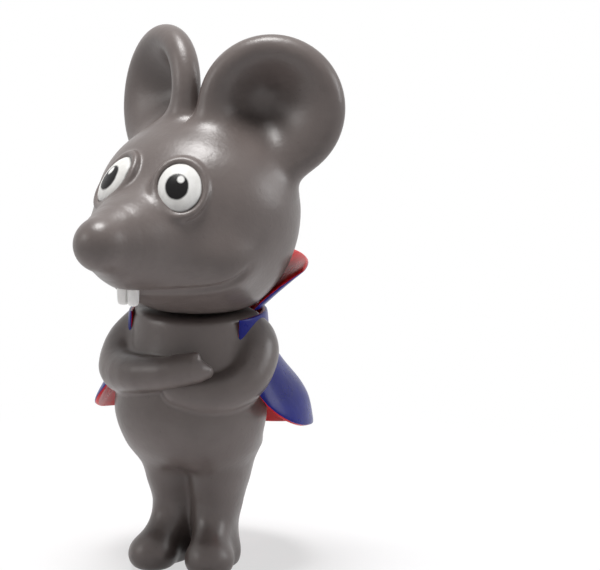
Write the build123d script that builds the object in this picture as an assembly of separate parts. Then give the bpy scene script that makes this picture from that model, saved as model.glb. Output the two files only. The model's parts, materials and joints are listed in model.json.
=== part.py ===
from build123d import *

import os
from math import asin, cos, pi, sin, sqrt

# A standing toy mouse in soft vinyl, 115 mm tall. Hollow castings plug together:
# the head snaps over a lip on the neck and turns there. All sizes are millimetres.
# The neck axis is the Z axis while the pieces are made, and the face looks along -Y.

# Fits and cuts
overrun = 5.0              # how far a cutting shape runs past what it cuts
press_gap = 0.05           # round plugs, roots and pieces that lie against each other
running_gap = 0.3          # flat faces that slide past each other at the neck
link_step = 0.02           # a limb's link starts this much inside the ball before it

# Neck joint
head_turn_angle = 14.0     # head turned to its right, as it stands
neck_radius = 7.5          # spigot that the head turns on
neck_clearance = 0.08      # radial, spigot to head
neck_bore_radius = 5.2     # the trunk casting's open mouth
lip_radius = 8.7           # snap lip above the head's floor
lip_height = 2.2
lip_chamfer = 0.8

# Head casting
head_wall = 2.4
head_floor = 2.8           # thickness around the neck hole
skull_width = 45.0
skull_depth = 41.0
crown_height = 19.5        # widest level up to the crown
jaw_height = 21.0          # head's underside up to the widest level
chin_radius = 11.0         # flat underside that sits on the trunk
muzzle_length = 34.4       # neck axis to the nose's widest ring, along the snout
muzzle_root_radius = 13.0
muzzle_below = 5.5         # snout axis below the widest level, at the neck axis
muzzle_lift_angle = 5.5    # snout pitched up from level
muzzle_shares = ((0.48, 0.95), (0.72, 0.74), (0.87, 0.52))  # of the length, of the root radius
muzzle_blend = 3.0         # soft hollow where the snout leaves the face
nose_radius = 5.6
cheek_width = 20.0
cheek_depth = 19.0
cheek_height = 16.4
cheek_spread = 10.6        # cheek's middle from the middle of the face
cheek_forward = 10.0       # and ahead of the neck axis
cheek_drop = 7.4           # and below the widest level
cheek_blend = 3.0

# Ears
ear_radius = 15.6
ear_spread = 14.4          # ear centre from the middle
ear_back = 6.5             # ear centre behind the neck axis
ear_rise = 22.2            # ear centre above the widest level of the skull
ear_rim = 2.9              # half the thickness of the rolled rim
ear_dish = 1.6             # bowl's bottom behind the rim's middle plane
ear_crown = 5.2            # back of the ear behind the same plane
ear_turn_angle = 30.0      # ears turned outwards
ear_lean_angle = 8.0       # and tipped back
ear_plug_radius = 1.7
ear_plug_back = 1.0        # plug behind the rim's middle plane
ear_plug_length = 5.5      # into the head
ear_plug_root = 2.0        # and back into the ear

# Eyes
eye_width = 9.4
eye_height = 11.4
eye_bulge = 2.4
eye_turn_angle = 25.0
eye_lift_angle = 22.0
eye_shank_radius = 1.6
eye_shank_length = 4.4

# Front teeth
tooth_width = 2.3
tooth_gap = 0.3
tooth_thickness = 1.5
tooth_length = 3.4         # below the muzzle
tooth_root = 1.9           # inside the muzzle's wall
tooth_rounding = 0.5
teeth_place_share = 0.72   # share of the muzzle's length

# Collar
collar_foot_radius = 13.4
collar_top_stand_off = 1.1 # outside, beyond the skull's widest half width
collar_height = 10.0
collar_thickness = 1.7
collar_back = 1.2          # collar's own axis behind the neck axis
collar_front_foot = 4.0    # front edge behind the neck axis at the foot
collar_front_top = 8.0     # and at the top

# Trunk and legs casting
body_wall = 2.2
leg_height = 14.0          # floor up to where the legs are narrowest
hip_rise = 22.0            # from there up to the widest level of the belly
chest_rise = 20.0          # and from there up to the neck
neck_top_radius = 13.2
belly_width = 33.2
legs_width = 17.8
body_depth_share = 0.86    # share of the width, front to back
trunk_forward = 3.2        # trunk's own axis ahead of the neck axis
chest_share = 0.5          # where the S of each side turns, as a share of its stretch
hip_share = 0.45
heel_rounding = 1.2
leg_gap = 1.8              # open slot between the ankles
leg_gap_height = 9.0
leg_groove_radius = 2.4    # groove that parts the legs above the slot
leg_groove_depth = 1.5
leg_groove_length = 12.0
foot_width = 10.4
foot_length = 17.0
foot_height = 8.4
foot_forward = 6.2
foot_spread = 6.3
foot_turn_angle = 9.0
sole_sink_share = 0.16     # share of the foot's height lost to the flat sole

# Arms, with heights given as drops below the neck
shoulder_radius = 4.6
elbow_radius = 4.4
forearm_radius = 4.1
hand_radius = 3.8
shoulder_reach = 13.2
shoulder_forward = 0.6
shoulder_drop = 6.6
elbow_reach = 13.8
elbow_forward = 8.2
elbow_drop = 12.6
forearm_reach = 8.5        # middle of the forearm
forearm_forward = 14.8
under_reach = 1.5          # left hand, tucked under the right forearm
under_forward = 16.6
under_drop = 13.6
over_forward = 18.4        # right forearm, where it crosses
over_drop = 9.6
hand_reach = 7.4
hand_forward = 16.4
hand_drop = 8.0

# Cape
cape_thickness = 1.8
cape_top_radius = 13.4     # inside, at the neck
cape_top_drop = 0.4        # below the top of the trunk
cape_hem_radius = 26.0     # inside, at the lowest of the hem
cape_length = 22.4         # top to hem, in front
cape_back_fall = 9.5       # hem lower at the back
cape_depth_share = 1.04    # share of the width, front to back
cape_front_top = 7.4       # front edge ahead of the neck axis at the top
cape_front_hem = 9.8       # and at the hem
cape_corner_radius = 10.5
cape_lean_angle = 10.0     # flare at the neck, away from upright

# Tail
tail_root_radius = 2.6
tail_tip_radius = 1.3
tail_root_drop = 8.0       # below the widest level of the belly
tail_root_depth = 3.2      # root inside the trunk's back
tail_stand_off = 3.4       # middle of the tail behind the root's place on the back
tail_tip_height = 4.0
tail_tip_side = 3.0
tail_links = 4

quarter_turn = 90
belly_level = leg_height + hip_rise
neck_height = belly_level + chest_rise
head_base = neck_height + running_gap
wide_level = head_base + jaw_height
skull_radius = skull_width / 2
collar_top_radius = skull_radius + collar_top_stand_off
skull_depth_share = skull_depth / skull_width
belly_radius = belly_width / 2
legs_radius = legs_width / 2
skull_middle = Vector(0, 0, wide_level)


def ellipsoid(width, depth, height):
    return scale(Sphere(1), by=(width / 2, depth / 2, height / 2))


def turned(*edges):
    """A closed outline drawn as radius and height, turned about the Z axis."""
    return revolve(Plane.XZ * make_face(edges), Axis.Z)


def quarter_ellipse(level, radius, reach, start_angle):
    """A quarter of an ellipse centred on the Z axis, drawn as radius and height."""
    return EllipticalCenterArc((0, level), radius, reach, start_angle, arc_size=quarter_turn)


def above(solid, height):
    return split(solid, Plane.XY.offset(height), Keep.TOP)


def behind(solid, lower, upper):
    """What lies behind a sloping cut, given as forward reach and height at its two ends."""
    low = Vector(0, -lower[0], lower[1])
    high = Vector(0, -upper[0], upper[1])
    return split(solid, Plane(low, x_dir=(1, 0, 0), z_dir=(high - low).cross(Vector(1, 0, 0))), Keep.TOP)


def surface_spot(solid, start, direction):
    """The point where a line from inside the solid leaves it, and the outward normal there."""
    return solid.shells()[0].find_intersection_points(Axis(start, direction))[-1]


def rod(start, direction, radius, length):
    """A round plug from start along direction."""
    return Plane(start, z_dir=direction) * Cylinder(
        radius, length, align=(Align.CENTER, Align.CENTER, Align.MIN)
    )


def link(start, end, start_radius, end_radius):
    """A tapered link: two balls with the cone that touches both."""
    length = (end - start).length
    lean = asin((start_radius - end_radius) / length)

    def on_ball(middle, radius, angle):
        return radius * cos(angle), middle + radius * sin(angle)

    outline = turned(
        ThreePointArc(
            (0, -start_radius),
            on_ball(0, start_radius, (lean - pi / 2) / 2),
            on_ball(0, start_radius, lean),
        ),
        Line(on_ball(0, start_radius, lean), on_ball(length, end_radius, lean)),
        ThreePointArc(
            on_ball(length, end_radius, lean),
            on_ball(length, end_radius, (lean + pi / 2) / 2),
            (0, length + end_radius),
        ),
        Line((0, length + end_radius), (0, -start_radius)),
    )
    return Plane(start, z_dir=end - start) * outline


def limb(points, radii, grow=0.0):
    """Links in a chain through points, each end as thick as its radius."""
    ends = [(Vector(*point), radius + grow) for point, radius in zip(points, radii)]
    first, *rest = zip(ends, ends[1:])
    (start, start_radius), (end, end_radius) = first
    whole = link(start, end, start_radius, end_radius)
    for (start, start_radius), (end, end_radius) in rest:
        whole = whole + link(start, end, start_radius - link_step, end_radius)
    return whole


def on_both_sides(left):
    return left, mirror(left, about=Plane.YZ)


# Head

def skull_form(inset=0.0, base=head_base):
    """Egg with a round crown, a longer jaw and a flat underside."""
    jaw_reach = jaw_height / sqrt(1 - (chin_radius / skull_radius) ** 2)
    egg = turned(
        quarter_ellipse(wide_level, skull_radius - inset, crown_height - inset, 0),
        quarter_ellipse(wide_level, skull_radius - inset, jaw_reach - inset, -quarter_turn),
        Line((0, wide_level - jaw_reach + inset), (0, wide_level + crown_height - inset)),
    )
    egg = scale(egg, by=(1, skull_depth_share, 1), about=(0, 0, 0))
    return above(egg, base)


snout = Plane(
    (0, 0, wide_level - muzzle_below),
    x_dir=(1, 0, 0),
    z_dir=Vector(0, -1, 0).rotate(Axis.X, -muzzle_lift_angle),
)


def muzzle_outline(inset=0.0):
    """Radius and place of the snout at its root and along its taper."""
    shares = ((0, 1), *muzzle_shares)
    return [
        (muzzle_root_radius * radius_share - inset, muzzle_length * length_share)
        for length_share, radius_share in shares
    ]


def muzzle_form():
    """Snout that tapers to a round nose."""
    root, *along = muzzle_outline()
    ring = (nose_radius, muzzle_length)
    return snout * turned(
        Line((0, 0), root),
        Spline(root, *along, ring, tangents=((0, 1), (0, 1))),
        TangentArc(ring, (0, muzzle_length + nose_radius), tangent=(0, 1)),
        Line((0, muzzle_length + nose_radius), (0, 0)),
    )


def muzzle_hollow():
    outline = muzzle_outline(head_wall)
    end = (0, outline[-1][1])
    return snout * turned(Polyline((0, 0), *outline, end), Line(end, (0, 0)))


def blended(pieces, blend):
    """Pieces fused into one, with the creases between them filled to a soft hollow."""
    whole = pieces[0] + pieces[1:]
    return fillet(new_edges(*pieces, combined=whole), blend)


def cheek_form():
    """Left cheek, a soft bulge beside the snout's root."""
    middle = Pos(cheek_spread, -cheek_forward, wide_level - cheek_drop)
    return middle * ellipsoid(cheek_width, cheek_depth, cheek_height)


def face_form():
    """Skull, snout and cheeks with soft hollows between them."""
    face = blended([skull_form(), muzzle_form()], muzzle_blend)
    return blended([face, *on_both_sides(cheek_form())], cheek_blend)


head_outside = face_form()


def ear_pieces():
    """The left ear, and the hole that its plug needs."""
    rim_middle = ear_radius - ear_rim
    bowl = turned(
        TangentArc((0, -ear_crown), (rim_middle, -ear_rim), tangent=(1, 0)),
        ThreePointArc((rim_middle, -ear_rim), (ear_radius, 0), (rim_middle, ear_rim)),
        TangentArc((0, -ear_dish), (rim_middle, ear_rim), tangent=(1, 0)),
        Line((0, -ear_dish), (0, -ear_crown)),
    )
    facing = Vector(0, -1, 0).rotate(Axis.X, -ear_lean_angle).rotate(Axis.Z, ear_turn_angle)
    middle = Vector(ear_spread, ear_back, wide_level + ear_rise)
    towards = skull_middle - middle
    down = (towards - facing * towards.dot(facing)).normalized()
    plug_top = middle - facing * ear_plug_back
    seat = surface_spot(head_outside, plug_top + down * ear_rise, -down)[0]
    plug = rod(seat - down * ear_plug_root, down, ear_plug_radius, ear_plug_root + ear_plug_length)
    hole = rod(
        seat - down * overrun, down, ear_plug_radius + press_gap, ear_plug_length + 2 * overrun
    )
    ear = Plane(middle, z_dir=facing) * bowl
    return ear - head_outside + plug, hole


def eye_pieces():
    """The left eye, and the hole that its shank needs."""
    look = Vector(0, -1, 0).rotate(Axis.X, -eye_lift_angle).rotate(Axis.Z, eye_turn_angle)
    seat, normal = surface_spot(head_outside, skull_middle, look)
    face = Plane(seat, x_dir=Vector(0, 0, 1).cross(normal), z_dir=normal)
    dome = face * ellipsoid(eye_width, eye_height, 2 * eye_bulge)
    shank = rod(seat, -normal, eye_shank_radius, eye_shank_length)
    hole = rod(
        seat + normal * overrun, -normal, eye_shank_radius + press_gap, eye_shank_length + 2 * overrun
    )
    return dome - head_outside + shank, hole


def teeth_pieces():
    """A pair of incisors on one root, and the slot that the root needs."""
    place = snout.from_local_coords(Vector(0, 0, muzzle_length * teeth_place_share))
    gum = surface_spot(head_outside, place, (0, 0, -1))[0]
    root_width = 2 * tooth_width + tooth_gap
    crown = Box(
        tooth_width,
        tooth_thickness,
        tooth_length + tooth_root,
        align=(Align.MIN, Align.CENTER, Align.MIN),
    )
    crown = fillet(crown.edges().group_by(Axis.Z)[0], tooth_rounding)
    crown = Pos(gum.X + tooth_gap / 2, gum.Y, gum.Z - tooth_length) * crown
    top = Pos(gum.X, gum.Y, gum.Z + tooth_root)
    hang = (Align.CENTER, Align.CENTER, Align.MAX)
    root = top * Box(root_width, tooth_thickness, tooth_root, align=hang)
    slot = top * Box(
        root_width + 2 * press_gap,
        tooth_thickness + 2 * press_gap,
        tooth_root + overrun,
        align=hang,
    )
    left, right = on_both_sides(crown)
    return left + right + root, slot


def collar_piece():
    """Flared collar glued round the jaw, open in front."""
    foot = (collar_foot_radius, head_base)
    top = (collar_top_radius, head_base + collar_height)
    inner_foot = (collar_foot_radius - collar_thickness, head_base)
    inner_top = (collar_top_radius - collar_thickness, head_base + collar_height)
    flare = Pos(0, collar_back, 0) * turned(
        Line(foot, top), Line(top, inner_top), Line(inner_top, inner_foot), Line(inner_foot, foot)
    )
    return behind(
        flare - head_outside,
        (-collar_front_foot, head_base),
        (-collar_front_top, head_base + collar_height),
    )


def head_casting(*holes):
    """Hollow head with a round opening in its floor for the neck."""
    inside = skull_form(head_wall, head_base + head_floor) + muzzle_hollow()
    neck_hole = Pos(0, 0, head_base) * Cylinder(
        neck_radius + neck_clearance, 2 * (head_floor + overrun)
    )
    return head_outside - inside - neck_hole - list(holes)


# Trunk

def side_curve(upper, lower, share):
    """An S of two arcs, upright at both ends, that turns at a share of the way down."""
    turn = upper + (lower - upper) * share
    return (
        TangentArc(upper, turn, tangent=(0, -1)),
        TangentArc(lower, turn, tangent=(0, 1)),
    )


def trunk_form(inset=0.0, floor=0.0, rounding=heel_rounding):
    """Pear-shaped trunk that draws in to the legs, with a flat top and a flat base."""
    top = Vector(neck_top_radius - inset, neck_height - inset)
    belly = Vector(belly_radius - inset, belly_level)
    shin = Vector(legs_radius - inset, leg_height)
    heel = Vector(legs_radius - inset, floor + rounding)
    sole = Vector(legs_radius - inset - rounding, floor)
    pear = turned(
        Line((0, top.Y), top),
        *side_curve(top, belly, chest_share),
        *side_curve(belly, shin, hip_share),
        Line(shin, heel),
        Line(heel, sole),
        Line(sole, (0, floor)),
        Line((0, floor), (0, top.Y)),
    )
    return Pos(0, -trunk_forward, 0) * scale(pear, by=(1, body_depth_share, 1), about=(0, 0, 0))


def leg_parting():
    """Slot between the ankles, and the grooves above it that part the legs."""
    depth = legs_radius * body_depth_share
    slot = Pos(0, 0, leg_gap_height / 2) * Box(leg_gap, 2 * (depth + overrun), leg_gap_height)
    slot = slot + Pos(0, 0, leg_gap_height) * Rot(quarter_turn, 0, 0) * Cylinder(
        leg_gap / 2, 2 * (depth + overrun)
    )
    out = depth + leg_groove_radius - leg_groove_depth
    groove = limb(
        [(0, out, leg_gap_height), (0, out, leg_gap_height + leg_groove_length)],
        [leg_groove_radius, leg_groove_radius],
    )
    cuts = [slot, groove, mirror(groove, about=Plane.XZ)]
    return [Pos(0, -trunk_forward, 0) * cut for cut in cuts]


def foot_form():
    """Left foot, rounded above and flat below."""
    full_height = foot_height / (1 - sole_sink_share)
    foot = ellipsoid(foot_width, foot_length, full_height)
    middle = full_height / 2 - full_height * sole_sink_share
    foot = Pos(foot_spread, -foot_forward, middle) * Rot(0, 0, foot_turn_angle) * foot
    return above(foot, 0)


def neck_spigot():
    """Round neck with the snap lip that holds the head."""
    root = neck_height - body_wall
    lip_base = head_base + head_floor + running_gap
    lip_top = lip_base + lip_height
    return turned(
        Line((0, root), (neck_radius, root)),
        Line((neck_radius, root), (neck_radius, lip_base)),
        Line((neck_radius, lip_base), (lip_radius, lip_base)),
        Line((lip_radius, lip_base), (lip_radius, lip_top - lip_chamfer)),
        Line((lip_radius, lip_top - lip_chamfer), (lip_radius - lip_chamfer, lip_top)),
        Line((lip_radius - lip_chamfer, lip_top), (0, lip_top)),
        Line((0, lip_top), (0, root)),
    )


def trunk_casting(tail):
    """Trunk, legs and feet in one hollow casting, open at the neck."""
    outside = trunk_form() - leg_parting() + on_both_sides(foot_form())
    hollow = trunk_form(body_wall, leg_gap_height + leg_gap / 2 + body_wall)
    mouth = Pos(0, 0, neck_height) * Cylinder(neck_bore_radius, 2 * chest_rise)
    return outside - hollow + neck_spigot() - mouth - tail


def left_arm_form(grow=0.0):
    """The arm whose hand is tucked under the other."""
    points = (
        (shoulder_reach, -shoulder_forward, neck_height - shoulder_drop),
        (elbow_reach, -elbow_forward, neck_height - elbow_drop),
        (forearm_reach, -forearm_forward, neck_height - under_drop),
        (under_reach, -under_forward, neck_height - under_drop),
    )
    return limb(points, (shoulder_radius, elbow_radius, forearm_radius, hand_radius), grow)


def right_arm_form(grow=0.0):
    """The arm that crosses in front."""
    points = (
        (-shoulder_reach, -shoulder_forward, neck_height - shoulder_drop),
        (-elbow_reach, -elbow_forward, neck_height - elbow_drop),
        (-forearm_reach, -forearm_forward, neck_height - (elbow_drop + over_drop) / 2),
        (0, -over_forward, neck_height - over_drop),
        (hand_reach, -hand_forward, neck_height - hand_drop),
    )
    radii = (shoulder_radius, elbow_radius, forearm_radius, hand_radius, hand_radius)
    return limb(points, radii, grow)


def cape_bell():
    """Bell with a wall, flared a little at the neck and more at the hem."""
    down = Vector(0, -1, 0).rotate(Axis.Z, cape_lean_angle)
    top = neck_height - cape_top_drop
    hem = top - cape_length - cape_back_fall
    inner = cape_hem_radius
    outer = cape_hem_radius + cape_thickness
    outer_top = cape_top_radius + cape_thickness
    bell = turned(
        TangentArc((cape_top_radius, top), (inner, hem), tangent=down),
        Line((inner, hem), (outer, hem)),
        TangentArc((outer_top, top), (outer, hem), tangent=down),
        Line((outer_top, top), (cape_top_radius, top)),
    )
    return scale(bell, by=(1, cape_depth_share, 1), about=(0, 0, 0))


def cape_side():
    """The cape from its side: front edge, round lower corner and a hem that falls to the back."""
    top = neck_height - cape_top_drop
    hem = top - cape_length
    reach = (cape_hem_radius + cape_thickness) * cape_depth_share + overrun
    front_corner = (-cape_front_hem, hem)
    outline = make_face(
        Polyline(
            (-cape_front_top, top),
            front_corner,
            (reach, hem - cape_back_fall),
            (reach, top),
            close=True,
        )
    )
    outline = fillet(outline.vertices().sort_by_distance(front_corner)[0], cape_corner_radius)
    return extrude(Plane.YZ * outline, reach, both=True)


def cape_piece():
    """Bell-shaped cape that hangs behind, cut away round the arms."""
    cape = cape_bell() & cape_side()
    return cape - trunk_form() - left_arm_form(press_gap) - right_arm_form(press_gap)


def tail_piece():
    """Tapered tail that plugs into the trunk's back and hangs behind the legs."""
    inside = Vector(0, -trunk_forward, belly_level - tail_root_drop)
    back = surface_spot(trunk_form(), inside, (0, 1, 0))[0]
    root = back - Vector(0, tail_root_depth, 0)
    tip = Vector(tail_tip_side, back.Y + tail_stand_off, tail_tip_height)
    middle = Vector(0, back.Y + tail_stand_off, (root.Z + tip.Z) / 2)
    line = Spline(root, middle, tip)
    shares = [n / tail_links for n in range(tail_links + 1)]
    radii = [tail_root_radius + (tail_tip_radius - tail_root_radius) * share for share in shares]
    return limb([line @ share for share in shares], radii)


# Assembly

def head_pieces():
    """Everything that turns with the head, facing straight ahead."""
    ear, ear_hole = ear_pieces()
    eye, eye_hole = eye_pieces()
    teeth, teeth_slot = teeth_pieces()
    left_ear, right_ear = on_both_sides(ear)
    left_eye, right_eye = on_both_sides(eye)
    holes = (teeth_slot, *on_both_sides(ear_hole), *on_both_sides(eye_hole))
    return {
        "head_shell": head_casting(*holes),
        "left_ear": left_ear,
        "right_ear": right_ear,
        "left_eye": left_eye,
        "right_eye": right_eye,
        "front_teeth": teeth,
        "collar": collar_piece(),
    }


def body_pieces():
    trunk = trunk_form()
    tail = tail_piece()
    return {
        "body_shell": trunk_casting(tail),
        "left_arm": left_arm_form() - trunk - right_arm_form(press_gap),
        "right_arm": right_arm_form() - trunk,
        "cape": cape_piece(),
        "tail": tail,
    }


def all_pieces():
    turn = Rot(0, 0, -head_turn_angle)
    head = {name: turn * piece for name, piece in head_pieces().items()}
    return {**head, **body_pieces()}


def main():
    os.makedirs("parts", exist_ok=True)
    pieces = all_pieces()
    boxes = [piece.bounding_box() for piece in pieces.values()]
    across = (min(box.min.X for box in boxes) + max(box.max.X for box in boxes)) / 2
    along = (min(box.min.Y for box in boxes) + max(box.max.Y for box in boxes)) / 2
    for name, piece in pieces.items():
        export_step(Pos(-across, -along, 0) * piece, f"parts/{name}.step")
    print("neck axis at x", round(-across, 3), "y", round(-along, 3))


main()
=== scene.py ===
import json
import math

import bmesh
import bpy
import numpy as np
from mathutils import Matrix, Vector


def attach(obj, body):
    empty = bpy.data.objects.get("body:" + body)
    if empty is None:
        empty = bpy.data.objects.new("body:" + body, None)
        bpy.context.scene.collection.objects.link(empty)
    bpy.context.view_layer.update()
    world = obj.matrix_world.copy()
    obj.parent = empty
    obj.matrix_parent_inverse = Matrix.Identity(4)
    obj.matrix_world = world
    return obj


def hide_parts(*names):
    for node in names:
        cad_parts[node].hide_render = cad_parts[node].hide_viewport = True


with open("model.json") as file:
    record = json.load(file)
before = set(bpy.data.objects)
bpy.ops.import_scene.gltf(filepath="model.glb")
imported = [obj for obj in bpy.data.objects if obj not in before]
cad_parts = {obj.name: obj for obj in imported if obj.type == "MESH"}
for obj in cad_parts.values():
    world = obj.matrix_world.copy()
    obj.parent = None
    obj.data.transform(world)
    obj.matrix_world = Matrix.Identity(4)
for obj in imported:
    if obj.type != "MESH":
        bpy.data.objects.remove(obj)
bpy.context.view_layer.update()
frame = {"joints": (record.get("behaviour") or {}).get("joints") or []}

neckPlace = np.array(frame["joints"][0]["pos_m"])      # neck joint, metres
headTurn = math.radians(-14.0)      # the head stands turned to its right
print("frame loaded, neck at", neckPlace.round(4))

# shapes are worked out in millimetres from the neck axis, face towards -Y


def smoothMin(a, b, soft):
    # the smaller of two distances, with a fillet that swells with the cube of how near they are to each other
    reach = 1.5 * soft
    near = np.maximum(reach - np.abs(a - b), 0) / reach
    return np.minimum(a, b) - near ** 3 * soft / 4


def smoothMax(a, b, soft):
    return -smoothMin(-a, -b, soft)


def oval(p, middle, radii):
    # distance to an ellipsoid, first order: |q| (|q| - 1) / |q / radii|
    q = (p - np.asarray(middle, float)) / np.asarray(radii, float)
    size = np.linalg.norm(q, axis=-1)
    return size * (size - 1) / np.maximum(np.linalg.norm(q / np.asarray(radii, float), axis=-1), 1e-9)


def taper(p, start, end, startRadius, endRadius):
    # distance to a round-ended rod whose radius runs evenly from one end to the other
    start, end = np.asarray(start, float), np.asarray(end, float)
    run = end - start
    share = np.clip((p - start) @ run / (run @ run), 0, 1)
    return np.linalg.norm(p - start - share[..., None] * run, axis=-1) - (
        startRadius + (endRadius - startRadius) * share)


def chain(p, points, radii, soft):
    links = [taper(p, points[n], points[n + 1], radii[n], radii[n + 1]) for n in range(len(points) - 1)]
    whole = links[0]
    for link in links[1:]:
        whole = smoothMin(whole, link, soft)
    return whole


def smoothLine(points, count):
    # Catmull-Rom line through the points, count spots at even parameter
    pts = np.asarray(points, float)
    ends = np.vstack([2 * pts[0] - pts[1], pts, 2 * pts[-1] - pts[-2]])
    u = np.linspace(0, len(pts) - 1, count)
    n = np.minimum(u.astype(int), len(pts) - 2)
    t = (u - n)[:, None]
    a, b, c, d = ends[n], ends[n + 1], ends[n + 2], ends[n + 3]
    square, cube = 2 * a - 5 * b + 4 * c - d, 3 * b - a - 3 * c + d
    return 0.5 * (2 * b + (c - a) * t + square * t ** 2 + cube * t ** 3)


def slopeOf(field, p, step=0.02):
    sides = []
    for axis in range(3):
        nudge = np.zeros(3)
        nudge[axis] = step
        sides.append((field(p + nudge) - field(p - nudge)) / (2 * step))
    return np.stack(sides, axis=-1)


def settle(field, p, rounds, limit):
    # Newton steps along the slope bring the points onto the zero surface
    for _ in range(rounds):
        slope = slopeOf(field, p)
        step = field(p)[:, None] * slope / np.maximum((slope ** 2).sum(-1, keepdims=True), 1e-6)
        length = np.linalg.norm(step, axis=-1, keepdims=True)
        p = p - step * np.minimum(1, limit / np.maximum(length, 1e-9))
    return p


def spotsOn(field, starts, ways, reach=45.0, step=0.5):
    # where rays from inside a shape leave it: steps outwards, then halving
    starts, ways = np.atleast_2d(starts).astype(float), np.atleast_2d(ways).astype(float)
    ways = ways / np.linalg.norm(ways, axis=-1, keepdims=True)
    low = np.zeros(len(starts))
    for r in np.arange(0.0, reach, step):
        inside = field(starts + ways * r) < 0
        low = np.where(inside & (r <= low + 1.02 * step), r, low)
    high = low + step
    for _ in range(20):
        middle = (low + high) / 2
        inside = field(starts + ways * middle[:, None]) < 0
        low, high = np.where(inside, middle, low), np.where(inside, high, middle)
    return starts + ways * low[:, None]


def castForm(field, low, high, cell):
    # one quad for each grid edge that a field's zero surface crosses, with its corners in the four cells
    # round the edge
    axes = [np.arange(a, b + cell, cell) for a, b in zip(low, high)]
    grid = np.stack(np.meshgrid(*axes, indexing="ij"), axis=-1).reshape(-1, 3)
    size = tuple(len(a) for a in axes)
    blocks = np.array_split(grid, max(1, len(grid) // 300000))
    value = np.concatenate([field(block) for block in blocks]).reshape(size)
    inside = value < 0
    corners = [(i, j, k) for i in (0, 1) for j in (0, 1) for k in (0, 1)]

    def at(array, corner):
        return array[tuple(slice(c, n - 1 + c) for c, n in zip(corner, size))]

    count = sum(at(inside, c).astype(np.int8) for c in corners)
    active = (count > 0) & (count < 8)
    number = np.full(active.shape, -1)
    number[active] = np.arange(active.sum())
    cells = np.argwhere(active).astype(float)
    total, hits = np.zeros_like(cells), np.zeros(len(cells))
    for axis in range(3):
        for c in (c for c in corners if c[axis] == 0):
            far = tuple(1 if n == axis else v for n, v in enumerate(c))
            a, b = at(value, c)[active], at(value, far)[active]
            cross = (a < 0) != (b < 0)
            spot = cells + np.array(c)
            spot[:, axis] += np.where(cross, a / np.where(cross, a - b, 1), 0)
            total += spot * cross[:, None]
            hits += cross
    points = np.asarray(low) + cell * total / hits[:, None]
    quads = []
    for axis in range(3):
        order = (axis, (axis + 1) % 3, (axis + 2) % 3)
        side, cellNumber = np.transpose(inside, order), np.transpose(number, order)
        first, second = side[:-1, 1:-1, 1:-1], side[1:, 1:-1, 1:-1]
        i, j, k = np.nonzero(first != second)
        quad = np.stack([cellNumber[i, j, k], cellNumber[i, j + 1, k],
                         cellNumber[i, j + 1, k + 1], cellNumber[i, j, k + 1]], axis=-1)
        outwards = first[i, j, k]
        quads.append(np.where(outwards[:, None], quad, quad[:, ::-1]))
    quads = np.concatenate(quads)
    # one even-out pass between neighbours, then onto the surface
    edges = np.concatenate([quads[:, [0, 1]], quads[:, [1, 2]], quads[:, [2, 3]], quads[:, [3, 0]]])
    mean, degree = np.zeros_like(points), np.zeros(len(points))
    np.add.at(mean, edges[:, 0], points[edges[:, 1]])
    np.add.at(degree, edges[:, 0], 1)
    points = 0.5 * points + 0.5 * mean / degree[:, None]
    return settle(field, points, 3, cell), quads


def gridQuads(rows, columns):
    # quads of a grid of points whose columns are joined round
    i, j = (a.ravel() for a in np.meshgrid(np.arange(rows - 1), np.arange(columns), indexing="ij"))
    n = (j + 1) % columns
    return np.stack([i * columns + j, i * columns + n, (i + 1) * columns + n, (i + 1) * columns + j], axis=-1)


def cappedGrid(rows, columns):
    # rings closed at both ends by fans to two poles, which are the last two points
    j = np.arange(columns)
    n = (j + 1) % columns
    pole, last = np.full(columns, rows * columns), (rows - 1) * columns
    start = np.stack([pole, n, j], axis=-1)
    end = np.stack([pole + 1, last + j, last + n], axis=-1)
    return gridQuads(rows, columns).tolist() + start.tolist() + end.tolist()


def makeMesh(name, points, faces, onHead, normals=None):
    # millimetres from the neck axis to metres in the frame; the head's pieces turn with it
    if onHead:
        c, s = math.cos(headTurn), math.sin(headTurn)
        turn = np.array([[c, -s, 0], [s, c, 0], [0, 0, 1]])
        points = points @ turn.T
        normals = None if normals is None else normals @ turn.T
    place = points / 1000 + np.array([neckPlace[0], neckPlace[1], 0])
    mesh = bpy.data.meshes.new(name)
    mesh.from_pydata(place.tolist(), [], faces)
    mesh.polygons.foreach_set("use_smooth", np.ones(len(faces), bool))
    mesh.update()
    if normals is not None:
        mesh.normals_split_custom_set_from_vertices(normals.tolist())
    piece = bpy.data.objects.new(name, mesh)
    bpy.context.scene.collection.objects.link(piece)
    return piece


def finishPiece(piece, body, node, material):
    piece.data.materials.append(material)
    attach(piece, body)
    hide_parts(node)


def addAttribute(piece, name, values):
    layer = piece.data.attributes.new(name, "FLOAT", "POINT")
    layer.data.foreach_set("value", np.asarray(values, np.float32).ravel())


# head

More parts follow.
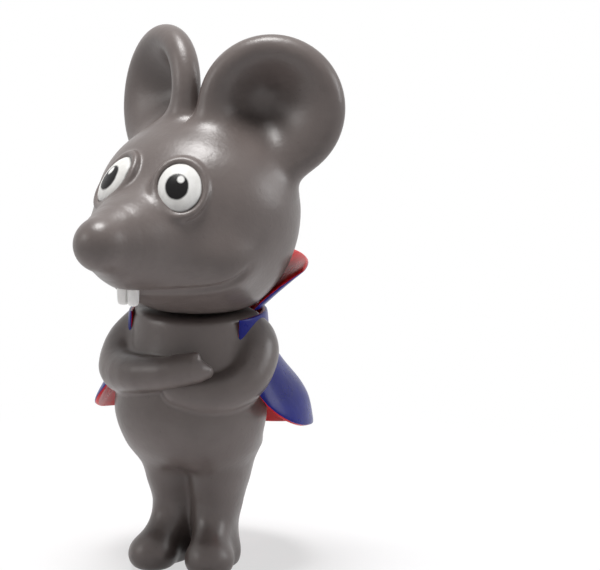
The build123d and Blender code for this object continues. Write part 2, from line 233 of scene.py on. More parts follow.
headSizes = {
    "middle": 77.3,             # height of the widest level
    "half": (22.5, 20.5),       # half width and half depth of the skull
    "crown": 19.5,
    "jaw": 24.2,
    "base": 56.5,               # underside
    "muzzle": [(0, -5.0, 71.0), (0, -15.8, 73.0), (0, -24.4, 74.0), (0, -30.0, 74.7)],
    "muzzleRadii": [13.4, 12.2, 9.2, 6.7],
    "nose": (0, -34.2, 75.1),
    "noseRadius": 5.6,
    "cheek": ((10.6, -10.0, 69.9), (10.0, 9.5, 8.2)),
    "mouthMiddle": (0, -8.0, 72.0),     # inside the head; the mouth's line is cast outwards from here
    "mouth": [(0, -26.0, 64.0), (5.0, -22.5, 64.4), (10.0, -17.5, 65.0), (14.5, -13.0, 66.8),
              (17.0, -10.0, 69.4)],
    "mouthDepth": 1.2,
    "mouthWidth": 0.8,
    "mouthFade": 2.5,           # length over which the mouth runs out
    "eyeTurn": 25.0,
    "eyeLift": 22.0,
    "eyeHalf": (4.9, 5.9),
    "lidSize": 0.75,
    "lidGap": 0.55,             # from the eye's edge to the middle of its lid ring
    "lidSink": 0.15,
    # softness of the joins
    "cheekSoft": 4.5,
    "muzzleSoft": 3.0,
    "snoutSoft": 5.5,
    "noseSoft": 1.6,
    "baseSoft": 2.0,
    "lidSoft": 1.1,
}
earSizes = {
    "middle": (14.4, 6.5, 99.5),
    "turn": 30.0,
    "lean": 8.0,
    "radius": 15.6,
    "rim": 3.1,
    "dish": 3.8,                # how far the bowl's floor lies behind the middle of the rim
    "deepest": (-1.6, 2.0),
    "wall": 1.6,
    "root": 5.0,                # softness where the ear runs into the head
}


def plainHead(p):
    # skull of two half ellipsoids, muzzle as a chain of tapers, cheeks as ovals, all softly joined
    h = headSizes
    q = p.copy()
    q[:, 0] = np.abs(q[:, 0])
    up = np.where(p[:, 2] > h["middle"], h["crown"], h["jaw"])
    radii = np.stack([np.full(len(p), h["half"][0]), np.full(len(p), h["half"][1]), up], axis=-1)
    whole = oval(p, (0, 0, h["middle"]), radii)
    whole = smoothMin(whole, oval(q, *h["cheek"]), h["cheekSoft"])
    whole = smoothMin(whole, chain(p, h["muzzle"], h["muzzleRadii"], h["muzzleSoft"]), h["snoutSoft"])
    nose = np.linalg.norm(p - np.array(h["nose"]), axis=-1) - h["noseRadius"]
    whole = smoothMin(whole, nose, h["noseSoft"])
    return smoothMax(whole, h["base"] - p[:, 2], h["baseSoft"])


def eyeFrame():
    # where the left eye sits: ray from the skull's middle, then the surface's own directions
    h = headSizes
    turn, lift = math.radians(h["eyeTurn"]), math.radians(h["eyeLift"])
    way = np.array([math.sin(turn) * math.cos(lift), -math.cos(turn) * math.cos(lift), math.sin(lift)])
    seat = spotsOn(plainHead, [(0, 0, h["middle"])], [way])
    normal = slopeOf(plainHead, seat, 1.5)[0]
    normal /= np.linalg.norm(normal)
    across = np.cross((0, 0, 1), normal)
    across /= np.linalg.norm(across)
    return seat[0], across, np.cross(normal, across), normal


eyeSeat, eyeAcross, eyeUp, eyeOut = eyeFrame()
mouthWays = np.array(headSizes["mouth"]) - np.array(headSizes["mouthMiddle"])
mouthLine = smoothLine(spotsOn(plainHead, [headSizes["mouthMiddle"]] * len(mouthWays), mouthWays), 15)


def headField(p):
    # plain head with a lid ring round each eye and the mouth pressed in along its line
    h = headSizes
    q = p.copy()
    q[:, 0] = np.abs(q[:, 0])
    whole = plainHead(p)
    near = q - eyeSeat
    u, v, w = near @ eyeAcross, near @ eyeUp, near @ eyeOut
    half = np.array(h["eyeHalf"]) + h["lidGap"]
    flat = np.sqrt((u / half[0]) ** 2 + (v / half[1]) ** 2)
    ring = np.sqrt(((flat - 1) * half.min()) ** 2 + (w + h["lidSink"]) ** 2) - h["lidSize"]
    whole = smoothMin(whole, ring, h["lidSoft"])
    gap = np.full(len(p), 99.0)
    for n in range(len(mouthLine) - 1):
        gap = np.minimum(gap, taper(q, mouthLine[n], mouthLine[n + 1], 0, 0))
    ends = np.clip(np.linalg.norm(q - mouthLine[-1], axis=-1) / h["mouthFade"], 0, 1)
    return whole + h["mouthDepth"] * ends * np.exp(-(gap / h["mouthWidth"]) ** 2)


def earAxes():
    e = earSizes
    turn, lean = math.radians(e["turn"]), math.radians(e["lean"])
    out = np.array([math.sin(turn) * math.cos(lean), -math.cos(turn) * math.cos(lean), math.sin(lean)])
    across = np.cross((0, 0, 1), out)
    across /= np.linalg.norm(across)
    return across, np.cross(out, across), out


earAcross, earUp, earOut = earAxes()


def plainEar(p):
    # rolled rim (a torus) that runs into a bowl: its front falls from the rim's crest to the bowl's floor
    # along a half cosine, its back bulges the same way, and the deepest spot lies off the middle
    e = earSizes
    near = p - np.array(e["middle"])
    u, v, w = near @ earAcross, near @ earUp, near @ earOut
    ring = e["radius"] - e["rim"]
    r = np.hypot(u, v)
    inward = np.clip(1 - (r / ring) ** 2, 0, 1)
    off = np.hypot(u - e["deepest"][0] * inward, v - e["deepest"][1] * inward)
    share = np.clip(off / ring, 0, 1)
    rise, steep = (1 - np.cos(math.pi * share)) / 2, math.pi / 2 * np.sin(math.pi * share) / ring
    front, back = e["dish"] + e["rim"], e["dish"] + e["wall"] - e["rim"]
    bowl = np.maximum((w + e["dish"] - front * rise) / np.hypot(1, front * steep),
                      (-e["rim"] - back * (1 - rise) - w) / np.hypot(1, back * steep))
    return np.where(r < ring, bowl, np.hypot(r - ring, w) - e["rim"])


def headAndEar(p):
    return smoothMin(plainHead(p), plainEar(p), earSizes["root"])


skirtSizes = {
    "depth": 0.8,               # how far the hidden skirt goes under the base's skin
    "hold": 0.004,              # least height above the base where the skirt ends
    "steep": 20,
    "skin": 0.05,               # points this near to the whole form count as its skin
}


def skirted(base, whole):
    # what the whole form adds to its base, with a thin skirt that lies just under the base's skin
    k = skirtSizes
    return np.maximum(np.maximum(whole, -(base + k["depth"])), k["steep"] * (k["hold"] - (base - whole)))


def skirtNormals(form, whole, points):
    # the whole form's slope on its skin, and the casting's own on the skirt
    skin = np.abs(whole(points)) < skirtSizes["skin"]
    normals = np.where(skin[:, None], slopeOf(whole, points), slopeOf(form, points))
    return normals / np.linalg.norm(normals, axis=-1, keepdims=True)


def earField(p):
    return skirted(plainHead(p), headAndEar(p))


# body

bodySizes = {
    # height, half width, half depth, middle from the neck axis
    "trunk": np.array([(57.0, 13.3, 11.8, -1.4), (52.0, 13.5, 12.1, -2.1), (47.0, 14.4, 12.8, -3.0),
                       (42.0, 15.6, 13.7, -3.8), (36.0, 16.6, 14.5, -4.2), (32.0, 16.2, 14.3, -4.0),
                       (28.0, 14.9, 13.2, -3.4), (24.0, 12.9, 11.2, -2.6), (20.0, 10.8, 9.0, -2.0)]),
    "sideShare": 0.92,          # keeps the trunk's distances from running too far
    "neckTop": 56.0,
    "neckSoft": 2.0,
    "trunkEnd": 22.4,
    "trunkSoft": 5.0,
    "legs": [(5.4, 0.3, 27.0), (4.9, 0.3, 20.0), (4.5, 0.3, 14.0), (4.5, 0.2, 7.0)],
    "legRadii": [8.1, 5.7, 4.4, 4.15],
    "legDepth": 1.5,            # legs deeper than wide
    "legSoft": 3.0,
    "groove": 2.0,
    "belly": 2.4,               # softness of the fold where the legs meet the belly
    "toe": ((6.6, -9.8, 3.0), (5.2, 5.4, 4.2)),
    "heel": ((5.6, -2.2, 2.8), (4.8, 5.6, 5.2)),
    "instep": [(4.8, -3.6, 9.6), (6.2, -9.6, 4.6)],
    "instepRadii": [3.9, 3.5],
    "footSoft": 3.0,
    "ankleSoft": 2.5,
    "soleSoft": 0.9,
}


def trunkField(p):
    # ellipses whose size and place run smoothly with height, closed at the neck and between the legs
    b = bodySizes
    stations = smoothLine(b["trunk"], 120)[::-1]
    width, depth, middle = (np.interp(p[:, 2], stations[:, 0], stations[:, n]) for n in (1, 2, 3))
    ring = np.hypot(p[:, 0] / width, (p[:, 1] - middle) / depth)
    side = (ring - 1) * np.minimum(width, depth) * b["sideShare"]
    side = smoothMax(side, p[:, 2] - b["neckTop"], b["neckSoft"])
    return smoothMax(side, b["trunkEnd"] - p[:, 2], b["trunkSoft"])


def legField(p, side):
    b = bodySizes
    mirror = np.array([side, 1, 1])
    q = p.copy()
    middle = b["legs"][0][1]
    q[:, 1] = (q[:, 1] - middle) / b["legDepth"] + middle
    leg = chain(q, np.array(b["legs"]) * mirror, b["legRadii"], b["legSoft"])
    toe, heel = (oval(p, np.array(b[n][0]) * mirror, b[n][1]) for n in ("toe", "heel"))
    instep = taper(p, *(np.array(b["instep"]) * mirror), *b["instepRadii"])
    foot = smoothMin(smoothMin(toe, heel, b["footSoft"]), instep, b["ankleSoft"])
    return smoothMin(leg, foot, b["ankleSoft"])


def bodyField(p):
    b = bodySizes
    legs = smoothMin(legField(p, 1), legField(p, -1), b["groove"])
    whole = smoothMin(trunkField(p), legs, b["belly"])
    return smoothMax(whole, -p[:, 2], b["soleSoft"])


# arms

armSizes = {
    "left": [(12.6, -0.4, 50.2), (14.3, -3.6, 47.2), (13.8, -8.6, 42.8), (9.4, -14.0, 40.8),
             (2.0, -17.0, 41.8)],
    "leftRadii": [4.7, 4.5, 4.1, 3.6, 3.0],
    "right": [(-12.6, -0.4, 50.2), (-14.6, -4.0, 46.8), (-13.8, -9.6, 43.4), (-8.4, -15.4, 44.0),
              (-1.0, -18.2, 45.2), (4.4, -17.9, 46.2), (8.6, -16.2, 46.0)],
    "rightRadii": [4.7, 4.7, 4.4, 3.7, 3.1, 2.7, 1.3],
    "thumb": [(2.6, -17.6, 47.4), (6.2, -16.8, 49.3)],
    "thumbRadii": [1.9, 0.9],
    "spots": 17,                # along each arm
    "linkSoft": 1.5,
    "thumbSoft": 1.6,
    "shoulderSoft": 4.5,
    "shoulderReach": 7.0,
    "foldSoft": 1.1,
}


def armForm(p, side):
    a = armSizes
    points, radii = smoothLine(a[side], a["spots"]), np.array(a[side + "Radii"])
    spread = np.interp(np.linspace(0, 1, len(points)), np.linspace(0, 1, len(radii)), radii)
    arm = chain(p, points, spread, a["linkSoft"])
    if side == "right":
        arm = smoothMin(arm, taper(p, *a["thumb"], *a["thumbRadii"]), a["thumbSoft"])
    return arm


def bodyAndArm(p, side):
    # softest at the shoulder, crisper where the forearm lies on the chest
    a = armSizes
    away = np.linalg.norm(p - np.array(a[side][0]), axis=-1)
    soft = a["foldSoft"] + (a["shoulderSoft"] - a["foldSoft"]) * np.exp(-(away / a["shoulderReach"]) ** 2)
    return smoothMin(trunkField(p), armForm(p, side), soft)


def armField(p, side):
    return skirted(trunkField(p), bodyAndArm(p, side))


print("fields ready, eye seat", eyeSeat.round(2))


# materials

def linear(red, green, blue):
    # screen colour 0 to 255 to Blender's linear colour
    c = np.array([red, green, blue]) / 255
    return tuple(np.where(c <= 0.04045, c / 12.92, ((c + 0.055) / 1.055) ** 2.4)) + (1.0,)


finishes = {
    "grey": [linear(94, 85, 82), linear(106, 97, 94)],
    "blue": [linear(14, 21, 112), linear(22, 31, 130)],
    "red": [linear(198, 18, 24), linear(216, 28, 32)],
    "white": [linear(222, 221, 218), linear(238, 238, 236)],
    "black": linear(16, 14, 15),
    "vinylRoughness": (0.30, 0.42),
    "paintRoughness": (0.24, 0.36),
    "shine": 0.5,               # specular level of vinyl
    "paintShine": 0.18,
    "peelSize": 900.0,          # bumps per metre
    "peelHeight": 0.00005,
}


class NodeSheet:
    def __init__(self, name, shine):
        self.material = bpy.data.materials.new(name)
        self.material.use_nodes = True
        self.tree = self.material.node_tree
        self.shader = self.tree.nodes["Principled BSDF"]
        self.shader.inputs["Specular IOR Level"].default_value = shine
        self.place = self.add("ShaderNodeTexCoord").outputs["Object"]

    def add(self, kind, **settings):
        node = self.tree.nodes.new(kind)
        for key, value in settings.items():
            setattr(node, key, value)
        return node

    def link(self, source, target):
        self.tree.links.new(source, target)

    def noise(self, scale, detail=3.0, rough=0.55):
        node = self.add("ShaderNodeTexNoise")
        node.inputs["Scale"].default_value = scale
        node.inputs["Detail"].default_value = detail
        node.inputs["Roughness"].default_value = rough
        self.link(self.place, node.inputs["Vector"])
        return node.outputs["Fac"]

    def ramp(self, value, low, high, fromValue=0.0, toValue=1.0):
        node = self.add("ShaderNodeMapRange")
        for key, number in zip(("From Min", "From Max", "To Min", "To Max"), (low, high, fromValue, toValue)):
            node.inputs[key].default_value = number
        self.link(value, node.inputs["Value"])
        return node.outputs["Result"]

    def math(self, operation, a, b):
        node = self.add("ShaderNodeMath", operation=operation)
        for socket, value in zip(node.inputs, (a, b)):
            if isinstance(value, (int, float)):
                socket.default_value = value
            else:
                self.link(value, socket)
        return node.outputs[0]

    def blend(self, share, a, b):
        node = self.add("ShaderNodeMix", data_type="RGBA")
        self.link(share, node.inputs[0])
        for socket, value in ((node.inputs[6], a), (node.inputs[7], b)):
            if isinstance(value, tuple):
                socket.default_value = value
            else:
                self.link(value, socket)
        return node.outputs[2]

    def bump(self, height, depth):
        node = self.add("ShaderNodeBump")
        node.inputs["Strength"].default_value = 1.0
        node.inputs["Distance"].default_value = depth
        self.link(height, node.inputs["Height"])
        self.link(node.outputs["Normal"], self.shader.inputs["Normal"])


def vinylColour(sheet):
    # warm grey in two close shades, cloudy, with fine dark dust
    cloud = sheet.ramp(sheet.noise(70.0, 4.0), 0.35, 0.65)
    grey = sheet.blend(cloud, *finishes["grey"])
    dust = sheet.ramp(sheet.noise(1500.0, 1.0, 0.4), 0.75, 0.80, 0.0, 0.35)
    return sheet.blend(dust, grey, linear(62, 56, 54))


def greyVinyl():
    sheet = NodeSheet("greyVinyl", finishes["shine"])
    sheet.link(vinylColour(sheet), sheet.shader.inputs["Base Color"])
    patch = sheet.ramp(sheet.noise(120.0, 5.0, 0.6), 0.3, 0.7, *finishes["vinylRoughness"])
    sheet.link(patch, sheet.shader.inputs["Roughness"])
    sheet.bump(sheet.noise(finishes["peelSize"], 2.0), finishes["peelHeight"])
    return sheet.material


def paintedSides():
    # blue outside and red inside, brushed by hand along the edge; the piece's own attribute says which side
    sheet = NodeSheet("bluePaintRedLining", finishes["paintShine"])
    side = sheet.add("ShaderNodeAttribute", attribute_name="lining").outputs["Fac"]
    wander = sheet.ramp(sheet.noise(260.0, 4.0, 0.6), 0.3, 0.7, -0.10, 0.10)
    share = sheet.ramp(sheet.math("ADD", side, wander), 0.0, 0.05)
    streak = sheet.ramp(sheet.noise(150.0, 5.0, 0.65), 0.3, 0.7)
    blue, red = (sheet.blend(streak, *finishes[name]) for name in ("blue", "red"))
    sheet.link(sheet.blend(share, blue, red), sheet.shader.inputs["Base Color"])
    sheet.link(sheet.ramp(sheet.noise(200.0, 4.0), 0.3, 0.7, *finishes["paintRoughness"]),
               sheet.shader.inputs["Roughness"])
    sheet.bump(sheet.noise(420.0, 4.0, 0.6), 0.00008)
    return sheet.material


def whiteEnamel():
    sheet = NodeSheet("whitePaint", finishes["shine"])
    sheet.link(sheet.blend(sheet.ramp(sheet.noise(300.0, 4.0), 0.3, 0.7), *finishes["white"]),
               sheet.shader.inputs["Base Color"])
    sheet.link(sheet.ramp(sheet.noise(260.0, 3.0), 0.3, 0.7, *finishes["paintRoughness"]),
               sheet.shader.inputs["Roughness"])
    sheet.bump(sheet.noise(500.0, 3.0), 0.00004)
    return sheet.material


eyePaint = {
    "pupil": (-0.10, -0.06),    # in half widths of the eye
    "pupilSize": 0.50,
    "glint": (0.06, 0.20),
    "glintSize": 0.15,
    "outline": 0.93,
    "blur": 0.035,
}


def paintedEye():
    # white dome with a black pupil, a white glint and a thin dark outline, from the eye's own map
    e = eyePaint
    sheet = NodeSheet("eyePaint", finishes["paintShine"])
    flat = sheet.add("ShaderNodeUVMap", uv_map="eyeMap").outputs["UV"]
    shake = sheet.add("ShaderNodeVectorMath", operation="SCALE")
    wander = sheet.add("ShaderNodeTexNoise")
    wander.inputs["Scale"].default_value = 420.0
    sheet.link(sheet.place, wander.inputs["Vector"])
    sheet.link(wander.outputs["Color"], shake.inputs[0])
    shake.inputs["Scale"].default_value = 0.03
    moved = sheet.add("ShaderNodeVectorMath", operation="ADD")
    sheet.link(flat, moved.inputs[0])
    sheet.link(shake.outputs[0], moved.inputs[1])

    def spot(middle, size):
        # the map runs 0 to 1 across the eye, so half widths are halved
        far = sheet.add("ShaderNodeVectorMath", operation="DISTANCE")
        sheet.link(moved.outputs[0], far.inputs[0])
        far.inputs[1].default_value = (0.5 + middle[0] / 2 + 0.015, 0.5 + middle[1] / 2 + 0.015, 0.015)
        return sheet.ramp(far.outputs["Value"], size / 2 - e["blur"] / 2, size / 2 + e["blur"] / 2, 1.0, 0.0)

    white = sheet.blend(sheet.ramp(sheet.noise(300.0, 4.0), 0.3, 0.7), *finishes["white"])
    colour = sheet.blend(spot(e["pupil"], e["pupilSize"]), white, finishes["black"])
    colour = sheet.blend(spot(e["glint"], e["glintSize"]), colour, finishes["white"][1])
    edge = sheet.math("SUBTRACT", 1.0, spot((0, 0), e["outline"]))
    colour = sheet.blend(edge, colour, finishes["black"])
    sheet.link(colour, sheet.shader.inputs["Base Color"])
    sheet.link(sheet.ramp(sheet.noise(260.0, 3.0), 0.3, 0.7, *finishes["paintRoughness"]),
               sheet.shader.inputs["Roughness"])
    sheet.bump(sheet.noise(500.0, 3.0), 0.00003)
    return sheet.material


vinyl, capePaint, toothPaint, eyeMaterial = greyVinyl(), paintedSides(), whiteEnamel(), paintedEye()
print("materials ready")


# castings

castBoxes = {
    # lowest and highest corner that each form is cast in
    "head": ((-24, -40, 55), (24, 22, 98.5)),
    "body": ((-18, -20, -1), (18, 12, 58)),
    "left": ((-4, -24, 36), (21, 8, 57)),
    "right": ((-21, -24, 36), (14, 8, 57)),
    "ear": (-19, 18),           # from the ear's middle
    "cell": 0.45,
    "armCell": 0.4,
}


def castHead():
    points, quads = castForm(headField, *castBoxes["head"], castBoxes["cell"])
    piece = makeMesh("headCasting", points, quads.tolist(), True)
    finishPiece(piece, "head", "head_shell", vinyl)


def castEars():
    low, high = (np.array(earSizes["middle"]) + away for away in castBoxes["ear"])
    points, quads = castForm(earField, low, high, castBoxes["cell"])
    normals = skirtNormals(earField, headAndEar, points)
    for side, name in ((1, "left"), (-1, "right")):
        mirror = np.array([side, 1, 1])
        faces = quads[:, ::side].tolist()
        piece = makeMesh(name + "EarCasting", points * mirror, faces, True, normals * mirror)
        finishPiece(piece, "head", name + "_ear", vinyl)


def castBody():
    points, quads = castForm(bodyField, *castBoxes["body"], castBoxes["cell"])
    piece = makeMesh("bodyCasting", points, quads.tolist(), False)
    finishPiece(piece, "body", "body_shell", vinyl)


def castArm(side):
    def form(p):
        return armField(p, side)

    def whole(p):
        return bodyAndArm(p, side)

    points, quads = castForm(form, *castBoxes[side], castBoxes["armCell"])
    piece = makeMesh(side + "ArmCasting", points, quads.tolist(), False, skirtNormals(form, whole, points))
    finishPiece(piece, "body", side + "_arm", vinyl)


castHead()
castEars()
print("head and ears cast")
castBody()
castArm("left")
castArm("right")
print("body and arms cast")


# eyes, teeth, tail

eyeSizes = {"bulge": 2.5, "sink": 0.5, "rows": 48, "columns": 96}


def setEyes():
    # ellipsoid: polar angle along the rows from front to back, turn along the columns
    e = eyeSizes
    half = headSizes["eyeHalf"]
    polar = np.linspace(0.0, math.pi, e["rows"] + 1)[1:-1, None]
    turn = np.linspace(0, 2 * math.pi, e["columns"], endpoint=False)[None, :]
    u = (np.sin(polar) * np.cos(turn)).ravel()
    v = (np.sin(polar) * np.sin(turn)).ravel()
    w = (np.cos(polar) * np.ones_like(turn)).ravel()
    u, v, w = (np.concatenate([a, [0, 0]]) for a in (u, v, w))
    w[-2:] = 1, -1
    seat = eyeSeat - eyeOut * e["sink"]
    points = seat + np.outer(u * half[0], eyeAcross) + np.outer(v * half[1], eyeUp)
    points = points + np.outer(w * e["bulge"], eyeOut)
    grid = cappedGrid(e["rows"] - 1, e["columns"])
    for side, name in ((1, "left"), (-1, "right")):
        mirror = np.array([side, 1, 1])
        faces = [f[::-side] for f in grid]
        piece = makeMesh(name + "EyeDome", points * mirror, faces, True)
        layer = piece.data.uv_layers.new(name="eyeMap")
        corner = np.zeros(len(piece.data.loops), np.int32)
        piece.data.loops.foreach_get("vertex_index", corner)
        flat = np.stack([0.5 + u[corner] / 2, 0.5 + v[corner] / 2], -1)
        layer.data.foreach_set("uv", flat.astype(np.float32).ravel())
        finishPiece(piece, "head", name + "_eye", eyeMaterial)


toothSizes = {
    "middle": (1.32, -24.7, 63.4),
    "half": (1.22, 0.8, 2.7),
    "square": 0.42,
    "taper": 0.10,
    "rows": 31,
    "columns": 48,
}


def setTeeth():
    # superellipsoid: each direction is a sine or cosine raised to a small power, narrower at the tip
    t = toothSizes
    polar = np.linspace(-math.pi / 2, math.pi / 2, t["rows"] + 2)[1:-1, None]
    turn = np.linspace(0, 2 * math.pi, t["columns"], endpoint=False)[None, :]

    def power(a):
        return np.sign(a) * np.abs(a) ** t["square"]

    x = (power(np.cos(polar)) * power(np.cos(turn))).ravel()
    y = (power(np.cos(polar)) * power(np.sin(turn))).ravel()
    z = (power(np.sin(polar)) * np.ones_like(turn)).ravel()
    x, y, z = (np.concatenate([a, [0, 0]]) for a in (x, y, z))
    z[-2:] = -1, 1
    x = x * (1 + t["taper"] * z)
    shape = np.stack([x * t["half"][0], y * t["half"][1], z * t["half"][2]], -1)
    faces = cappedGrid(t["rows"], t["columns"])
    middle = np.array(t["middle"])
    points = np.vstack([shape + middle * np.array([side, 1, 1]) for side in (1, -1)])
    faces = faces + [[c + len(shape) for c in f] for f in faces]
    piece = makeMesh("frontTeethPair", points, faces, True)
    finishPiece(piece, "head", "front_teeth", toothPaint)


tailSizes = {
    "path": [(0, 4.6, 28.4), (0, 10.0, 25.5), (0.1, 13.0, 17.5), (1.0, 13.6, 10.0), (3.0, 13.4, 4.0)],
    "radii": (2.6, 1.25),
    "tipShare": 0.05,           # of the length, rounded off
    "tipLeast": 0.0004,         # square of the share of the radius left at the tip
    "rootRadius": 0.02,
    "rows": 90,
    "columns": 40,
}


def hangTail():
    # circle carried along the path, its radius easing to the tip, both ends rounded off
    t = tailSizes
    line = smoothLine(t["path"], t["rows"])
    ahead = np.gradient(line, axis=0)
    ahead /= np.linalg.norm(ahead, axis=-1, keepdims=True)
    side = np.cross(ahead, (1.0, 0, 0))
    side /= np.linalg.norm(side, axis=-1, keepdims=True)
    other = np.cross(ahead, side)
    share = np.linspace(0, 1, t["rows"])
    radius = t["radii"][0] + (t["radii"][1] - t["radii"][0]) * share
    tip = np.clip((share - 1 + t["tipShare"]) / t["tipShare"], 0, 1)
    radius = radius * np.sqrt(np.clip(1 - tip ** 2, t["tipLeast"], 1))
    radius[0] = t["rootRadius"]
    turn = np.linspace(0, 2 * math.pi, t["columns"], endpoint=False)
    ring = np.cos(turn)[None, :, None] * side[:, None] + np.sin(turn)[None, :, None] * other[:, None]
    points = (line[:, None] + radius[:, None, None] * ring).reshape(-1, 3)
    points = np.vstack([points, line[:1], line[-1:]])
    piece = makeMesh("tailCasting", points, cappedGrid(t["rows"], t["columns"]), False)
    finishPiece(piece, "body", "tail", vinyl)


setEyes()
setTeeth()
hangTail()
print("eyes, teeth and tail set")


# cape and collar

capeSizes = {
    # height and radius of the middle of the sheet, from the neck to the hem
    "side": np.array([(55.6, 14.2), (51.0, 14.4), (47.0, 15.4), (43.0, 17.3), (39.0, 19.6), (35.0, 21.9),
                      (31.0, 23.7), (28.0, 24.7), (25.0, 25.2)]),
    "hem": 30.6,                # at the sides
    "fall": 5.6,                # hem lower at the back
    "depth": 1.05,              # share of the width, front to back
    "frontTop": -7.4,           # front edge at the top and at the hem
    "frontHem": -8.8,
    "corner": 10.0,             # how far the hem climbs to the front edge
    "half": 0.95,               # half the thickness
    "swell": 1.6,               # soft fold that stands out towards each back corner
    "swellTurn": 1.05,          # radians from the back
    "swellHeight": 37.5,
    "swellSize": (0.4, 5.5),    # radians round, millimetres up
    "fallShare": 0.75,          # share of the way to the front edge where the back's fall ends
    "cornerStart": 0.60,        # and where the corner begins
    "hemPaint": (0.35, 46.0, 4.0),      # red on the edge, from this height down, easing in over this height
    "grid": (181, 120),
}
collarSizes = {
    "foot": 56.4,
    "top": 66.2,
    "footRadius": 12.6,
    "topRadius": 22.7,
    "back": 1.2,
    "frontFoot": 3.0,
    "frontTop": 8.0,
    "corner": 0.12,
    "cornerPower": 8,
    "flare": 1.1,
    "half": 0.85,
    "edgePaint": 0.35,          # red laps over the edge
    "grid": (161, 90),
}


sheetEdge = {"round": 0.35, "sidePower": 14, "step": 1e-3}


def closedSheet(middle, half, around, along):
    # a sheet with thickness as one closed skin: round the section the offset follows the sine's small power,
    # and it thins to nothing at both side edges
    turn = np.linspace(0, 2 * math.pi, along, endpoint=False)[None, :]
    s = np.sin(np.linspace(-math.pi / 2, math.pi / 2, around))[:, None]
    t = (1 - np.cos(turn)) / 2 * np.ones_like(s)
    sideways = s * np.ones_like(t)
    offset = np.sign(np.sin(turn)) * np.abs(np.sin(turn)) ** sheetEdge["round"] * np.ones_like(s)
    step = sheetEdge["step"]
    spot = middle(sideways, t)
    du = middle(np.clip(sideways + step, -1, 1), t) - middle(np.clip(sideways - step, -1, 1), t)
    dv = middle(sideways, np.clip(t + step, 0, 1)) - middle(sideways, np.clip(t - step, 0, 1))
    out = np.cross(du, dv)
    out /= np.maximum(np.linalg.norm(out, axis=-1, keepdims=True), 1e-12)
    thin = np.sqrt(np.clip(1 - np.abs(sideways) ** sheetEdge["sidePower"], 0, 1))
    points = spot + out * (half * offset * thin)[..., None]
    return points.reshape(-1, 3), offset.ravel(), gridQuads(around, along)


def capeMiddle(s, t):
    # the side line gives the radius at each height; the turn from the back runs to where the front edge is,
    # the hem falls to the back and climbs in a round corner to the front edge
    c = capeSizes
    line = smoothLine(c["side"], 120)[::-1]
    low = c["hem"] - c["fall"] * np.cos(np.clip(np.abs(s) / c["fallShare"], 0, 1) * math.pi / 2) ** 2
    bend = np.clip((np.abs(s) - c["cornerStart"]) / (1 - c["cornerStart"]), 0, 1)
    climb = c["corner"] * (1 - np.sqrt(1 - bend ** 2))
    top = c["side"][0, 0]
    z = top - (top - low - climb) * t
    radius = np.interp(z, line[:, 0], line[:, 1])
    front = c["frontTop"] + (c["frontHem"] - c["frontTop"]) * (top - z) / (top - c["hem"])
    angle = s * np.arccos(np.clip(front / (c["depth"] * radius), -1, 1))
    wide, tall = c["swellSize"]
    fold = np.exp(-((np.abs(angle) - c["swellTurn"]) / wide) ** 2 - ((z - c["swellHeight"]) / tall) ** 2)
    radius = radius + c["swell"] * fold
    return np.stack([radius * np.sin(angle), c["depth"] * radius * np.cos(angle), z], -1)


def collarMiddle(s, t):
    c = collarSizes
    radius = c["footRadius"] + (c["topRadius"] - c["footRadius"]) * t ** c["flare"]
    front = c["frontFoot"] + (c["frontTop"] - c["frontFoot"]) * t
    most = np.arccos(np.clip((front - c["back"]) / radius, -1, 1))
    angle = s * most
    rise = (c["top"] - c["foot"]) * t * (1 - c["corner"] * np.abs(s) ** c["cornerPower"] * t)
    return np.stack([radius * np.sin(angle), c["back"] + radius * np.cos(angle), c["foot"] + rise], -1)


def hangCape():
    points, offset, quads = closedSheet(capeMiddle, capeSizes["half"], *capeSizes["grid"])
    inside = offset if inwardFirst(points, offset) else -offset
    share, height, ease = capeSizes["hemPaint"]
    piece = makeMesh("capeSheet", points, quads.tolist(), False)
    addAttribute(piece, "lining", inside + share * np.clip((height - points[:, 2]) / ease, 0, 1))
    fixSides(piece)
    finishPiece(piece, "body", "cape", capePaint)


def setCollar():
    points, offset, quads = closedSheet(collarMiddle, collarSizes["half"], *collarSizes["grid"])
    inside = offset if inwardFirst(points, offset) else -offset
    piece = makeMesh("collarSheet", points, quads.tolist(), True)
    addAttribute(piece, "lining", inside + collarSizes["edgePaint"])
    fixSides(piece)
    finishPiece(piece, "head", "collar", capePaint)


def inwardFirst(points, offset):
    # true where the skin's plus side lies nearer to the neck axis
    far = np.hypot(points[:, 0], points[:, 1])
    return far[offset > 0.8].mean() < far[offset < -0.8].mean()


def fixSides(piece):
    # faces outwards, whichever way the section was drawn
    work = bmesh.new()
    work.from_mesh(piece.data)
    bmesh.ops.remove_doubles(work, verts=work.verts, dist=1e-7)
    bmesh.ops.recalc_face_normals(work, faces=work.faces)
    work.to_mesh(piece.data)
    work.free()
    piece.data.polygons.foreach_set("use_smooth", np.ones(len(piece.data.polygons), bool))


hangCape()
setCollar()
print("cape and collar set")


# camera, floor and light

studio = {
    "azimuth": 22.0,            # degrees round from the front
    "elevation": 12.0,
    "distance": 0.70,
    "aim": (0.0, 0.0, 0.060),   # from the neck axis
    "viewWidth": 0.1285,        # metres across the picture at the figure
    "shift": (0.170, 0.0061),
    "sensor": 36.0,
    "floor": linear(240, 239, 241),
    "floorHalf": 3.0,
    "floorFade": (0.05, 0.15),  # metres from the figure where the floor turns to plain white
    "floorWhite": 0.62,         # share of plain white at the figure's foot, which keeps its shadow faint
    "ambient": 0.08,
    # place from the neck axis, size, watts, colour
    "lamps": [((-0.08, 0.02, 0.90), 0.40, 8.6, (1.0, 0.99, 0.98)),
              ((-0.60, -0.40, 0.45), 0.35, 1.0, (1.0, 0.98, 0.96)),
              ((0.60, 0.25, 0.35), 0.35, 1.5, (0.98, 0.99, 1.0))],
}


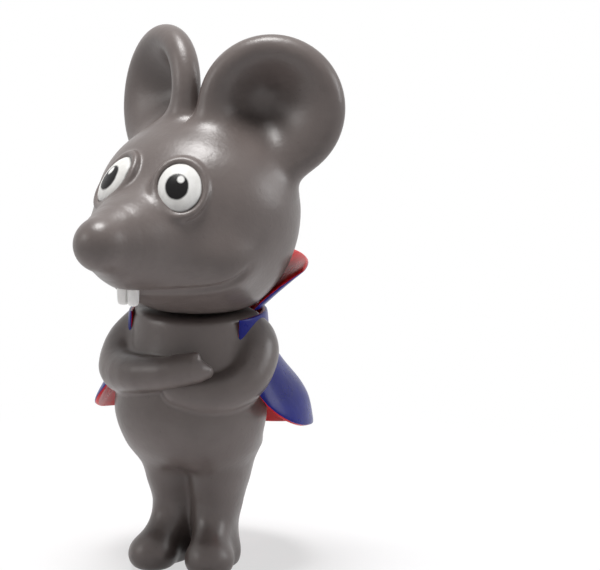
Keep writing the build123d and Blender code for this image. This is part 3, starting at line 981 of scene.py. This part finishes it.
def setCamera():
    turn, rise = math.radians(studio["azimuth"]), math.radians(studio["elevation"])
    aim = Vector(studio["aim"]) + Vector((neckPlace[0], neckPlace[1], 0))
    towards = Vector((math.sin(turn) * math.cos(rise), -math.cos(turn) * math.cos(rise), math.sin(rise)))
    data = bpy.data.cameras.new("photoCamera")
    data.sensor_width = studio["sensor"]
    data.lens = studio["sensor"] * studio["distance"] / studio["viewWidth"]
    data.shift_x, data.shift_y = studio["shift"]
    data.clip_start, data.clip_end = 0.01, 20
    camera = bpy.data.objects.new("photoCamera", data)
    camera.location = aim + towards * studio["distance"]
    camera.rotation_euler = (-towards).to_track_quat("-Z", "Y").to_euler()
    bpy.context.scene.collection.objects.link(camera)
    bpy.context.scene.camera = camera


def seenDirect(tree):
    # 1 for camera, glossy and transmission rays
    path = tree.nodes.new("ShaderNodeLightPath")
    share = path.outputs["Is Camera Ray"]
    for name in ("Is Glossy Ray", "Is Transmission Ray"):
        most = tree.nodes.new("ShaderNodeMath")
        most.operation = "MAXIMUM"
        tree.links.new(share, most.inputs[0])
        tree.links.new(path.outputs[name], most.inputs[1])
        share = most.outputs[0]
    return share


def mixInto(tree, share, plain, white, target):
    mix = tree.nodes.new("ShaderNodeMixShader")
    tree.links.new(share, mix.inputs[0])
    tree.links.new(plain, mix.inputs[1])
    tree.links.new(white, mix.inputs[2])
    tree.links.new(mix.outputs[0], target)


def setWorld():
    # plain white where it is seen, a low even light for the rest
    world = bpy.data.worlds.new("studioWorld")
    world.use_nodes = True
    bpy.context.scene.world = world
    tree = world.node_tree
    plain = tree.nodes["Background"]
    plain.inputs["Color"].default_value = (1, 1, 1, 1)
    plain.inputs["Strength"].default_value = studio["ambient"]
    white = tree.nodes.new("ShaderNodeBackground")
    white.inputs["Color"].default_value = (1, 1, 1, 1)
    mixInto(tree, seenDirect(tree), plain.outputs[0], white.outputs[0],
            tree.nodes["World Output"].inputs["Surface"])


def setFloor():
    # pale paper round the figure that fades into the white behind
    mesh = bpy.data.meshes.new("studioFloor")
    far = studio["floorHalf"]
    mesh.from_pydata([(-far, -far, 0), (far, -far, 0), (far, far, 0), (-far, far, 0)], [], [(0, 1, 2, 3)])
    floor = bpy.data.objects.new("studioFloor", mesh)
    bpy.context.scene.collection.objects.link(floor)
    paper = bpy.data.materials.new("studioPaper")
    paper.use_nodes = True
    tree = paper.node_tree
    shader = tree.nodes["Principled BSDF"]
    shader.inputs["Base Color"].default_value = studio["floor"]
    shader.inputs["Roughness"].default_value = 0.9
    shader.inputs["Specular IOR Level"].default_value = 0.0
    place = tree.nodes.new("ShaderNodeTexCoord")
    away = tree.nodes.new("ShaderNodeVectorMath")
    away.operation = "LENGTH"
    tree.links.new(place.outputs["Object"], away.inputs[0])
    fade = tree.nodes.new("ShaderNodeMapRange")
    fade.interpolation_type = "SMOOTHSTEP"
    fade.inputs["From Min"].default_value, fade.inputs["From Max"].default_value = studio["floorFade"]
    fade.inputs["To Min"].default_value = studio["floorWhite"]
    tree.links.new(away.outputs["Value"], fade.inputs["Value"])
    share = tree.nodes.new("ShaderNodeMath")
    share.operation = "MULTIPLY"
    tree.links.new(seenDirect(tree), share.inputs[0])
    tree.links.new(fade.outputs["Result"], share.inputs[1])
    white = tree.nodes.new("ShaderNodeEmission")
    mixInto(tree, share.outputs[0], shader.outputs[0], white.outputs[0],
            tree.nodes["Material Output"].inputs["Surface"])
    mesh.materials.append(paper)


def hangLamps():
    for n, (place, size, watts, colour) in enumerate(studio["lamps"]):
        data = bpy.data.lights.new("softbox%d" % n, "AREA")
        data.shape, data.size, data.energy, data.color = "DISK", size, watts, colour
        lamp = bpy.data.objects.new("softbox%d" % n, data)
        lamp.location = Vector(place) + Vector((neckPlace[0], neckPlace[1], 0))
        aim = Vector((neckPlace[0], neckPlace[1], studio["aim"][2])) - lamp.location
        lamp.rotation_euler = aim.to_track_quat("-Z", "Y").to_euler()
        bpy.context.scene.collection.objects.link(lamp)


setCamera()
setWorld()
setFloor()
hangLamps()
bpy.context.scene.view_settings.view_transform = "Standard"
print("studio set")
